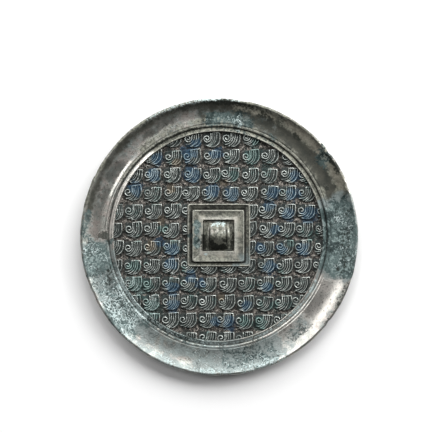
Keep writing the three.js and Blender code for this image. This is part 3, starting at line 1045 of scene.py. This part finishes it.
def bronze_material():
    """Bare metal, the dark relief of the field, and the corrosion, painted shade and painted
    highlights over them.
    """
    material = bpy.data.materials.new("bronze")
    g = Graph(material)
    cloud = g.noise(7, 4, 0.6, 0)
    blotch = g.noise(2.2, 5, 0.7, 1)
    mottle = g.noise(3.4, 6, 0.75, 2)
    fleck = g.noise(0.9, 3, 0.6, 3)
    grain = g.noise(0.34, 2, 0.5, 4)
    speck = g.noise(1.3, 2, 0.5, 5)
    broad, medium = g.blend(0.5, blotch, cloud), g.blend(0.5, mottle, fleck)
    fine = g.blend(0.5, fleck, grain)
    line, pad, groove, pale = g.read("line"), g.read("pad"), g.read("groove"), g.read("pale")
    in_field = g.math("COMPARE", g.read("zone"), float(FIELD), 0.5)

    def covered(name, pattern, soft, least):
        """1 where the painted amount exceeds the pattern and the least, so it is a share."""
        pattern = g.most(pattern, least)
        amount = g.times(g.read(name), 1 + soft)
        return g.rise(amount, g.less(pattern, soft), g.math("ADD", pattern, soft))

    def veiled(name, pattern, spread):
        """The painted amount with soft edges, thinner and thicker with the pattern."""
        swing = g.math("MULTIPLY_ADD", pattern, spread, -0.5 * spread)
        return g.rise(g.math("ADD", g.read(name), swing), 0.25, 0.8)

    contour = g.math("ABSOLUTE", g.less(g.blend(0.3, speck, fleck), 0.5))
    threads = g.rise(contour, 0.0, 0.3)
    teal = covered("teal", g.blend(0.4, mottle, fleck), 0.2, 0.2)
    crust = covered("crust", g.blend(0.5, threads, mottle), 0.12, 0.12)
    black = covered("black", g.blend(0.5, blotch, fleck), 0.2, 0.2)
    blue = covered("blue", g.blend(0.6, blotch, fleck), 0.3, 0.25)
    ochre = covered("ochre", mottle, 0.3, 0.3)
    film = veiled("film", g.blend(0.5, mottle, cloud), 0.9)
    olive = veiled("olive", broad, 0.5)
    dull = veiled("dull", g.blend(0.4, blotch, mottle), 0.7)
    pits = g.rise(g.blend(0.5, fleck, speck), 0.72, 0.9)
    crest = g.rise(line, 0.3, 0.74)

    # The rim, band, seat and loop
    metal = g.mix(cloud, *METAL)
    metal = g.mix(g.rise(mottle, 0.35, 0.75, 0.0, 0.5), metal, GREENISH)
    metal = g.mix(g.rise(broad, 0.42, 0.7, 0.0, 0.5), metal, PINKISH)
    metal = g.mix(g.times(grain, 0.25), metal, GRAINY)
    # Pale metal and painted highlight, from the pale amount.
    metal = g.mix(g.times(pale, 0.8), metal, PALE_METAL_AND_HIGHLIGHT)
    metal = g.mix(g.times(pits, 0.6), metal, PITTED)
    metal = g.mix(g.rise(fine, 0.55, 0.8, 0.0, 0.42), metal, FLECKED)
    metal = g.mix(olive, metal, g.mix(mottle, *OLIVE))
    tone = g.mix(g.rise(medium, 0.28, 0.74), *DULL)
    # Pale and painted highlight over the dull coat.
    tone = g.mix(g.times(pale, 0.85), tone, g.mix(mottle, *DULL_PALE_AND_HIGHLIGHT))
    # Wear and painted highlight on the crest rows of band and seat.
    tone = g.mix(g.times(line, g.blend(fleck, 0.45, 0.9)), tone, DULL_WORN_AND_HIGHLIGHT)
    metal = g.mix(g.times(dull, 0.92), metal, tone)
    metal = g.mix(g.times(film, 0.85), metal, g.mix(mottle, *FILM))

    # The field: ground, pads and raised lines
    ground = g.mix(mottle, *GROUND)
    dip = g.rise(g.blend(0.45, fleck, grain), 0.35, 0.62, 1.0, 0.0)
    ground = g.mix(g.times(dip, 0.85), ground, GROUND_DIPS)
    ground = g.mix(g.rise(g.blend(0.6, fleck, grain), 0.62, 0.85), ground, GROUND_FLECKS)
    # The pads' hollows between lines are near black: dark corrosion, and painted shade as well.
    relief = g.mix(pad, ground, g.mix(fine, *PAD))
    relief = g.mix(crest, relief, g.mix(g.blend(0.4, mottle, grain), *CREST))

    # What lies over both
    base = g.mix(in_field, metal, relief)
    tone = g.mix(g.rise(g.blend(0.45, g.blend(0.4, mottle, blotch), cloud), 0.25, 0.7), *TEAL)
    tone = g.mix(g.rise(medium, 0.5, 0.9), tone, TEAL_FLECKS)
    tone = g.mix(in_field, tone, g.mix(crest, g.mix(fleck, *GREEN), GREEN_CREST))
    base = g.mix(g.times(teal, g.blend(in_field, 0.94, 0.65)), base, tone)
    tone = g.mix(crest, g.mix(fleck, *BLUE), g.mix(mottle, *BLUE_CREST))
    base = g.mix(g.times(blue, 0.8), base, tone)
    base = g.mix(g.times(ochre, 0.6), base, g.mix(crest, *OCHRE))
    tone = g.mix(fine, *CRUST)
    tone = g.mix(g.times(in_field, g.less(1.0, crest)), tone, CRUST_IN_FIELD)
    base = g.mix(g.times(crust, g.blend(in_field, 0.95, 0.8)), base, tone)
    # Black corrosion, with painted shadow and shade from the opening, seat-edge and loop spots and
    # the dark sector outside the band.
    base = g.mix(g.times(black, 0.88), base, BLACK)
    # Painted shade from the groove marks: round each pad, in the band's and seat's grooves, on the
    # trough's +Y and -X sides, in the loop's slits and inside its hole; partly dirt.
    base = g.mix(g.times(groove, 0.9), base, GROOVE_SHADE_AND_DIRT)

    matte = g.most(g.times(teal, 0.85), crust, g.times(blue, 0.8), black, g.times(dull, 0.75),
                   groove, g.times(film, 0.65))
    bare = g.blend(in_field, g.blend(olive, 1.0, 0.7), g.times(crest, 0.8))
    bare = g.times(bare, g.blend(matte, 1.0, 0.15))
    rough = g.blend(in_field, g.rise(cloud, 0.0, 1.0, 0.34, 0.42), g.blend(crest, 0.65, 0.38))
    rough = g.blend(matte, g.blend(olive, rough, 0.5), 0.62)
    dusty = g.most(g.times(dull, g.less(1.0, line)), groove)
    rough = g.blend(dusty, rough, 0.88)
    height = g.math("MULTIPLY_ADD", fleck, 0.6, g.times(grain, 0.4))
    height = g.times(height, g.blend(matte, g.blend(in_field, 0.14, 0.7), 1.0))

    bump = g.fill(g.add("ShaderNodeBump"),
                  {"Strength": 0.6, "Distance": 0.2 * MM, "Height": height})
    g.surface({"Base Color": base, "Metallic": bare, "Roughness": rough,
               "Specular IOR Level": SHEEN, "Normal": bump.outputs["Normal"]})
    return material


# --- floor, lights and camera
VIEW_WIDTH = 186.1 * MM  # what the picture spans at the rim's height
VIEW_CENTRE = (-1.4 * MM, 8.9 * MM)
CAMERA_DISTANCE = 0.9
SENSOR = 36.0
FLOOR_RADIUS = 0.7
FLOOR_SIDES = 96
FLOOR_Z = -0.02 * MM  # so that it doesn't coincide with the mirror's underside
FLOOR_GREY = 0.86
AMBIENT_GREY = 0.12  # light from all round
BACKDROP_GREY = 1.0  # what the camera sees past the floor
SOFTBOX_DISTANCE = 1.0
# (name, azimuth and elevation in degrees, width and height in metres, power in watts)
SOFTBOXES = [
    ("softbox_main", 72, 30, 1.1, 0.7, 17),
    ("softbox_right", 25, 22, 0.5, 0.4, 7.8),
    ("softbox_left", 125, 18, 0.5, 0.35, 5.2),
    ("softbox_top", 148, 54, 0.5, 0.4, 2.2),
]


def make_floor():
    """The round pale table that the mirror lies on."""
    mesh = bpy.data.meshes.new("floor")
    turns = np.linspace(0, 2 * math.pi, FLOOR_SIDES, endpoint=False)
    corners = [(FLOOR_RADIUS * math.cos(turn), FLOOR_RADIUS * math.sin(turn), FLOOR_Z)
               for turn in turns]
    mesh.from_pydata(corners, [], [tuple(range(FLOOR_SIDES))])
    material = bpy.data.materials.new("floor")
    Graph(material).surface({"Base Color": (FLOOR_GREY,) * 3, "Roughness": 0.9})
    mesh.materials.append(material)
    floor = placed("floor", mesh)


def softbox(name, azimuth, elevation, width, height, power):
    """An area light that faces the mirror."""
    light = bpy.data.lights.new(name, "AREA")
    light.shape = "RECTANGLE"
    light.size, light.size_y, light.energy = width, height, power
    lamp = placed(name, light)
    turn, lift = math.radians(azimuth), math.radians(elevation)
    side = Vector((math.cos(turn) * math.cos(lift), math.sin(turn) * math.cos(lift), math.sin(lift)))
    lamp.location = side * SOFTBOX_DISTANCE
    lamp.rotation_euler = side.to_track_quat("Z", "Y").to_euler()


def make_world():
    world = bpy.data.worlds.new("studio")
    g = Graph(world)
    ambient = g.add("ShaderNodeBackground", (AMBIENT_GREY,) * 3)
    backdrop = g.add("ShaderNodeBackground", (BACKDROP_GREY,) * 3)
    seen = g.add("ShaderNodeLightPath").outputs["Is Camera Ray"]
    mix = g.add("ShaderNodeMixShader", seen, ambient.outputs[0], backdrop.outputs[0])
    g.add("ShaderNodeOutputWorld", mix.outputs[0])
    bpy.context.scene.world = world


def make_camera():
    """Straight above, a little off the mirror's centre."""
    camera = bpy.data.cameras.new("camera")
    camera.sensor_width = SENSOR
    camera.lens = SENSOR * CAMERA_DISTANCE / VIEW_WIDTH
    holder = placed("camera", camera)
    holder.location = (*VIEW_CENTRE, CAMERA_DISTANCE + RIM_HEIGHT * MM)
    bpy.context.scene.camera = holder


make_camera()
make_world()
make_floor()
for box in SOFTBOXES:
    softbox(*box)
bpy.context.scene.view_settings.view_transform = "Standard"

mirror = make_mirror()
mirror.data.materials.append(bronze_material())
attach(mirror, "root")
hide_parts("mirror")

bpy.context.view_layer.update()
